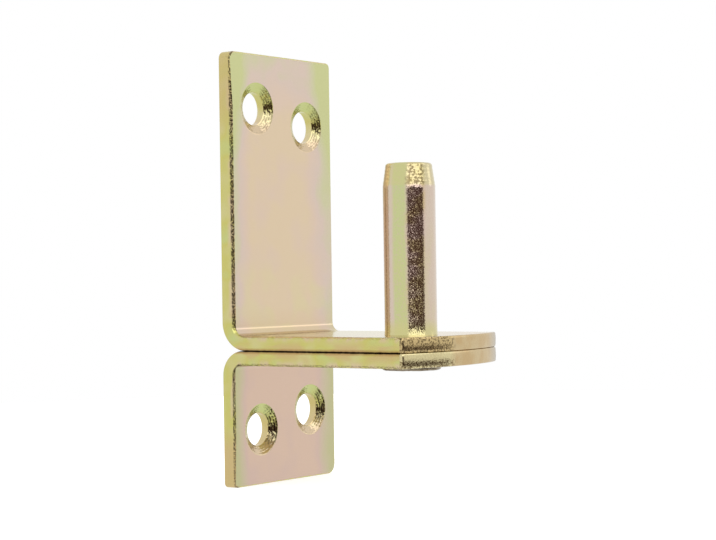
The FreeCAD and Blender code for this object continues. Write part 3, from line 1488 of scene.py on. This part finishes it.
@dataclass
class HingePin:
    """The turned pin, with a tapered top, a tenon through both legs and a riveted head."""

    node: str
    seat: float
    finish: TurnedFinish
    taper_height: float = 6.0 * MM
    taper_radius: float = 6.25 * MM
    top_round: float = 0.8 * MM
    tenon_radius: float = 5.0 * MM
    head_height: float = 1.5 * MM
    head_round: float = 0.7 * MM
    foot_flare: float = 0.12 * MM
    foot_height: float = 2.2 * MM
    turning_rings: int = 5
    ring_depth: float = 0.04 * MM
    ring_middle: float = 0.35
    ring_end: float = 0.7
    head_steps: int = 12
    round_steps: int = 8
    shank_steps: int = 40
    steps: int = 160
    hammer_depth: float = 0.18 * MM
    hammer_size: float = 2.2 * MM
    smooth_angle: float = math.radians(32.0)

    def __post_init__(self) -> None:
        """Takes the pin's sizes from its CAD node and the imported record."""
        low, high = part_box(self.node)
        self.radius = mount_size("strap_pin", "r_mm")
        self.head_radius = high.x
        self.bottom = low.z
        self.top = high.z
        self.taper_start = self.top - self.taper_height

    def build(self) -> bpy.types.Object:
        """Models the pin and dresses it.

        Returns:
            The finished piece.
        """
        piece = turned(f"{self.node}_plated", self.profile(), Vector(), Vector((0, 0, 1)), self.steps)
        self.hammer_head(piece)
        smooth(piece, self.smooth_angle)
        piece.data.materials.append(self.finish.make(self))
        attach(piece, BODY)
        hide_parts(self.node)
        return piece

    def profile(self) -> Profile:
        """The pin's half profile, from the middle of the riveted head to the middle of the top."""
        return [*self.head_profile(), *self.shank_profile(), *self.taper_profile()]

    def head_profile(self) -> Profile:
        """Half profile of the riveted head and of the tenon above it.

        Returns:
            Radius and height of each point.
        """
        flat = self.head_radius - self.head_round
        points = [(flat * step / self.head_steps, self.bottom) for step in range(self.head_steps)]
        points += self.quarter_round(flat, self.bottom + self.head_round, self.head_round, -math.pi / 2)
        shoulder = self.bottom + self.head_height
        points.append((self.head_radius, shoulder))
        points.append((self.tenon_radius, shoulder))
        points.append((self.tenon_radius, self.seat))
        return points

    def shank_profile(self) -> Profile:
        """Half profile of the shank, with a slight flare where it sits on the leg.

        Returns:
            Radius and height of each point.
        """
        points = []
        for step in range(self.round_steps):
            share = step / self.round_steps
            flare = self.foot_flare * (1 - share) ** 2
            points.append((self.radius + flare, self.seat + self.foot_height * share))
        start = self.seat + self.foot_height
        for step in range(self.shank_steps):
            points.append((self.radius, start + (self.taper_start - start) * step / self.shank_steps))
        return points

    def taper_profile(self) -> Profile:
        """Half profile of the tapered top, with its turning rings and rounded rim.

        Returns:
            Radius and height of each point.
        """
        length = self.taper_height - self.top_round
        narrow = self.radius - self.taper_radius
        groove = ((0.0, 0.0), (self.ring_middle, self.ring_depth), (self.ring_end, 0.0))
        points = []
        for ring in range(self.turning_rings):
            for part, depth in groove:
                share = (ring + part) / self.turning_rings
                points.append((self.radius - narrow * share - depth, self.taper_start + length * share))
        flat = self.taper_radius - self.top_round
        points += self.quarter_round(flat, self.top - self.top_round, self.top_round, 0.0)
        points.append((0.0, self.top))
        return points

    def quarter_round(self, flat: float, height: float, size: float, start: float) -> Profile:
        """A quarter circle of a rounded rim.

        Args:
            flat: Radius where the round meets the flat end.
            height: Height of the circle's centre.
            size: Radius of the circle.
            start: Angle of its first point.

        Returns:
            Radius and height of each point.
        """
        turns = [start + math.pi / 2 * step / self.round_steps for step in range(self.round_steps + 1)]
        return [(flat + size * math.cos(turn), height + size * math.sin(turn)) for turn in turns]

    def hammer_head(self, piece: bpy.types.Object) -> None:
        """Dents the riveted head.

        Args:
            piece: The turned pin.
        """
        line = self.bottom + self.head_height - TINY
        marked = {vert.index: 1.0 for vert in piece.data.vertices if vert.co.z < line}
        roughen(piece, marked, self.hammer_size, self.hammer_depth)


@dataclass
class Studio:
    """A white floor and surround, a softbox over the camera, and the camera itself."""

    camera_place: Vector
    camera_heading: float
    camera_pitch: float
    camera_roll: float
    lens: float
    floor_level: float
    clip_start: float = 0.01
    floor_radius: float = 0.4
    floor_steps: int = 128
    floor_white: float = 0.8
    floor_glow: float = 0.55
    surround: float = 1.0
    softbox: float = 1.8
    fill: float = 1.55
    shade: Colour = (0.085, 0.05, 0.044, 1.0)
    shade_bounces: float = 1.5
    gap_start: float = math.radians(-66.0)
    gap_step: float = math.radians(8.0)
    gap_end: float = math.radians(44.0)
    gap_floor: float = math.radians(-14.0)
    gap_low: float = math.radians(-4.0)
    gap_high: float = math.radians(11.0)
    lamp_middle: float = math.radians(22.0)
    lamp_top: float = math.radians(48.0)
    fill_start: float = math.radians(46.0)
    fill_end: float = math.radians(64.0)
    fill_low: float = math.radians(10.0)
    fill_high: float = math.radians(20.0)
    edge_soft: float = math.radians(2.5)

    def build(self) -> None:
        """Sets up the floor, the surround and the camera."""
        self.lay_floor()
        self.light_surround()
        self.place_camera()
        bpy.context.scene.view_settings.view_transform = "Standard"

    def lay_floor(self) -> None:
        """Lays a round white floor that shows the object's soft shadow."""
        bpy.ops.object.select_all(action="DESELECT")
        bpy.ops.mesh.primitive_circle_add(
            vertices=self.floor_steps,
            radius=self.floor_radius,
            fill_type="NGON",
            location=(0, 0, self.floor_level),
        )
        floor = named("floor")
        settle()
        floor.visible_glossy = False
        material = bpy.data.materials.new("floor_white")
        material.use_nodes = True
        nodes = material.node_tree.nodes
        links = material.node_tree.links
        nodes.clear()
        paper = nodes.new("ShaderNodeBsdfDiffuse")
        paper.inputs["Color"].default_value = grey(self.floor_white)
        glow = nodes.new("ShaderNodeEmission")
        rays = nodes.new("ShaderNodeLightPath")
        level = nodes.new("ShaderNodeMath")
        level.operation = "MULTIPLY"
        level.inputs[1].default_value = self.floor_glow
        both = nodes.new("ShaderNodeAddShader")
        output = nodes.new("ShaderNodeOutputMaterial")
        links.new(rays.outputs["Is Camera Ray"], level.inputs[0])
        links.new(level.outputs[0], glow.inputs["Strength"])
        links.new(paper.outputs[0], both.inputs[0])
        links.new(glow.outputs[0], both.inputs[1])
        links.new(both.outputs[0], output.inputs["Surface"])
        floor.data.materials.append(material)
        floor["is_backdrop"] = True

    def light_surround(self) -> None:
        """Makes the white surround, with a softbox above the camera and a dark gap below it."""
        world = bpy.data.worlds.new("studio")
        bpy.context.scene.world = world
        world.use_nodes = True
        world.node_tree.nodes.clear()
        sky = NodeSheet(world.node_tree, "Generated")
        heading = sky.math("ARCTAN2", sky.y, sky.x)
        wide = sky.band(heading, self.gap_start, self.gap_end, self.edge_soft)
        narrow = sky.band(heading, self.gap_start, self.gap_step, self.edge_soft)
        low = self.belt(sky, self.gap_floor, self.gap_low)
        high = self.belt(sky, self.gap_floor, self.gap_high)
        gap = sky.math("MAXIMUM", sky.times(wide, low), sky.times(narrow, high))
        main_lamp = self.belt(sky, self.gap_high, self.lamp_top)
        side_lamp = self.belt(sky, self.lamp_middle, self.lamp_top)
        lamp = sky.math("MAXIMUM", sky.times(narrow, main_lamp), sky.times(wide, side_lamp))
        aside = sky.band(heading, self.fill_start, self.fill_end, self.edge_soft)
        fill = self.belt(sky, self.fill_low, self.fill_high)
        rays = sky.nodes.new("ShaderNodeLightPath")
        unseen = sky.math("SUBTRACT", 1.0, rays.outputs["Is Camera Ray"])
        colour = sky.mix(sky.times(aside, fill, unseen), grey(self.surround), grey(self.fill))
        colour = sky.mix(sky.times(lamp, unseen), colour, grey(self.softbox))
        first = sky.math("LESS_THAN", rays.outputs["Glossy Depth"], self.shade_bounces)
        colour = sky.mix(sky.times(gap, unseen, first), colour, self.shade)
        background = sky.nodes.new("ShaderNodeBackground")
        sky.links.new(colour, background.inputs["Color"])
        output = sky.nodes.new("ShaderNodeOutputWorld")
        sky.links.new(background.outputs[0], output.inputs["Surface"])

    def belt(self, sky: NodeSheet, low: float, high: float) -> bpy.types.NodeSocket:
        """A belt of the surround between two heights, given as angles above the horizon."""
        return sky.band(sky.z, math.sin(low), math.sin(high), self.edge_soft)

    def place_camera(self) -> None:
        """Puts the camera where the photograph was taken from."""
        heading, pitch, roll = self.camera_heading, self.camera_pitch, self.camera_roll
        forward = Vector(
            (-math.cos(heading) * math.cos(pitch), math.sin(heading) * math.cos(pitch), math.sin(pitch))
        )
        level_right = forward.cross(Vector((0, 0, 1))).normalized()
        level_up = level_right.cross(forward)
        right = level_right * math.cos(roll) - level_up * math.sin(roll)
        up = level_up * math.cos(roll) + level_right * math.sin(roll)
        turn = Matrix((right, up, -forward)).transposed().to_4x4()
        data = bpy.data.cameras.new("camera")
        data.lens = self.lens
        data.clip_start = self.clip_start
        camera = bpy.data.objects.new("camera", data)
        bpy.context.scene.collection.objects.link(camera)
        camera.matrix_world = Matrix.Translation(self.camera_place) @ turn
        bpy.context.scene.camera = camera


def main() -> None:
    """Builds the plates, the pin and the studio."""
    cad_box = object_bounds()
    seat = frame["record"]["mounts"][0]["pos_m"][2]
    plates = [
        BentPlate(
            node="upper_plate",
            upright=Upright.RISES,
            seat=seat,
            bend_inside=2.5 * MM,
            edge_round=1.05 * MM,
            near_corner=2.0 * MM,
            far_corner=1.5 * MM,
            rolled=RolledFinish(
                film=(Tone.PEACH, Tone.BLUSH, Tone.LILAC, Tone.SAGE, Tone.LIME),
                near_width=9.5 * MM,
                far_width=14.0 * MM,
                end_share=0.6,
                foot_share=0.45,
            ),
            strip=StripFinish(end_share=0.6),
            nose=NoseFinish(fleck_share=1.0, torn_tone=Tone.TAN),
            sink=SinkFinish(painted_shade_share=0.6, low_share=0.9, bore_share=0.2),
        ),
        BentPlate(
            node="lower_plate",
            upright=Upright.HANGS,
            seat=seat,
            bend_inside=1.5 * MM,
            edge_round=0.55 * MM,
            near_corner=1.2 * MM,
            far_corner=3.0 * MM,
            rolled=RolledFinish(
                film=(Tone.ROSE, Tone.MAUVE, Tone.HAZE, Tone.REED, Tone.FERN),
                near_width=7.0 * MM,
                far_width=10.0 * MM,
                end_share=0.1,
                foot_share=0.0,
                low_share=1.0,
            ),
            strip=StripFinish(
                end_share=0.9, end_width=18.0 * MM, burr_shadow_share=0.7, leg_share=0.5, corner_shade_share=0.9
            ),
            nose=NoseFinish(fleck_share=0.15, torn_tone=Tone.STRAW),
            sink=SinkFinish(painted_shade_share=1.0, low_share=0.35, bore_share=0.6),
        ),
    ]
    pin = HingePin(node="hinge_pin", seat=seat, finish=TurnedFinish())
    for maker in (*plates, pin):
        piece = maker.build()
        log.info("%s: %d faces", piece.name, len(piece.data.polygons))
    studio = Studio(
        camera_place=Vector((0.283682, -0.416284, 0.016717)),
        camera_heading=math.radians(54.15),
        camera_pitch=math.radians(0.068),
        camera_roll=math.radians(0.844),
        lens=95.264,
        floor_level=cad_box[0].z,
    )
    studio.build()
    log.info("studio: floor at %.4f m", studio.floor_level)


if __name__ == "__main__":
    logging.basicConfig(level=logging.INFO)
    main()
